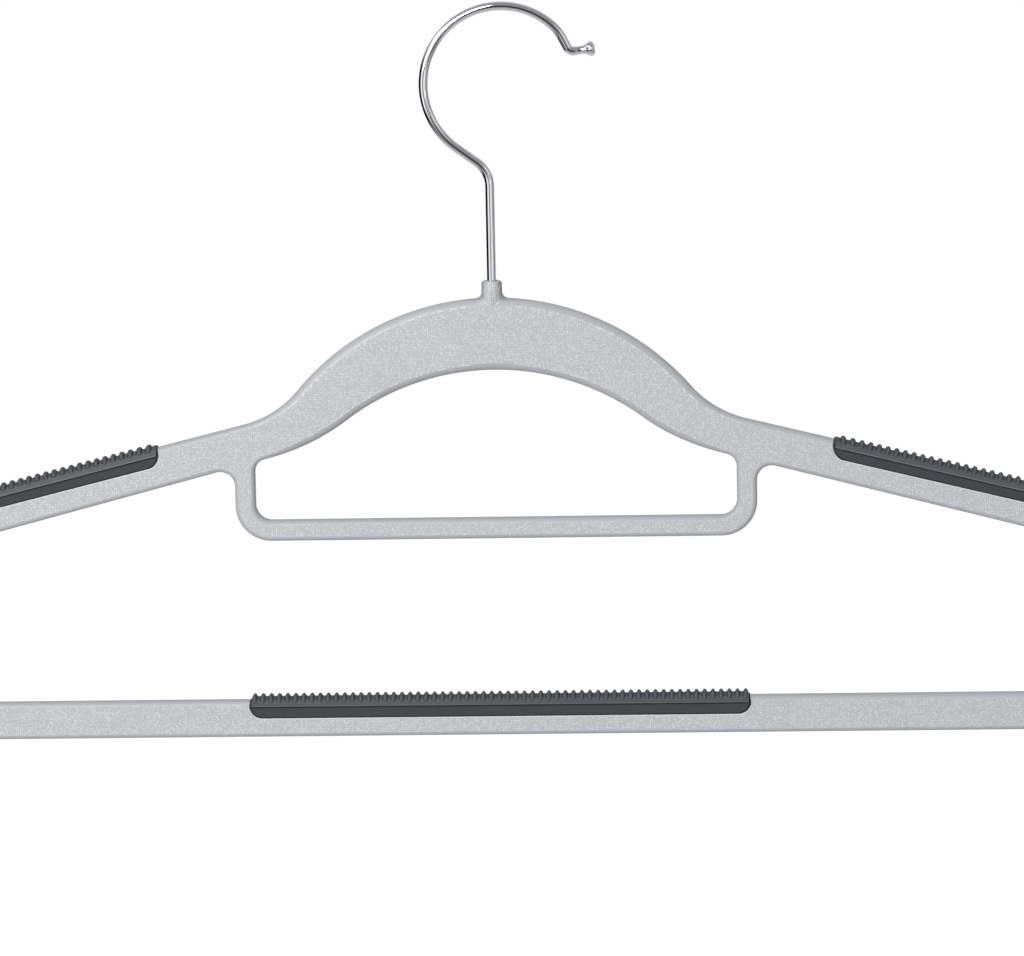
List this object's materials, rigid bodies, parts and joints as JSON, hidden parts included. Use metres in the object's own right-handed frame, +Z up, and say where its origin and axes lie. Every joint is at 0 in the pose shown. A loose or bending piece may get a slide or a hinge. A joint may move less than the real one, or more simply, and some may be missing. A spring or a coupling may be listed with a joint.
{
  "type": "clothes hanger",
  "caption": "Moulded clothes hanger with a swivelling wire hook, an arched top, a centre loop bar, a lower bar and ribbed rubber grips.",
  "frame": {"origin": "under the crown of the hook, in the middle of the wire, where it rests on the rail", "axes": "+Z up, +X to the right as seen from the front, front face towards -Y"},
  "size_m": [0.42, 0.0068, 0.2388],
  "materials": {
    "chrome_wire": "bright plated steel wire",
    "grey_plastic": "fine stippled faces with smoother rounded edges",
    "dark_rubber": "satin soft rubber with ribs across the top"
  },
  "bodies": {
    "hook": {"hook": "chrome_wire"},
    "frame": {"hanger_frame": "grey_plastic", "left_shoulder_grip": "dark_rubber", "right_shoulder_grip": "dark_rubber", "trouser_bar_grip": "dark_rubber"}
  },
  "joints": [
    {"name": "hook_swivel", "type": "hinge", "parent": "hook", "child": "frame", "pos_m": [-0.0043, 0, -0.0918], "axis": [0, 0, 1], "continuous": true}
  ]
}
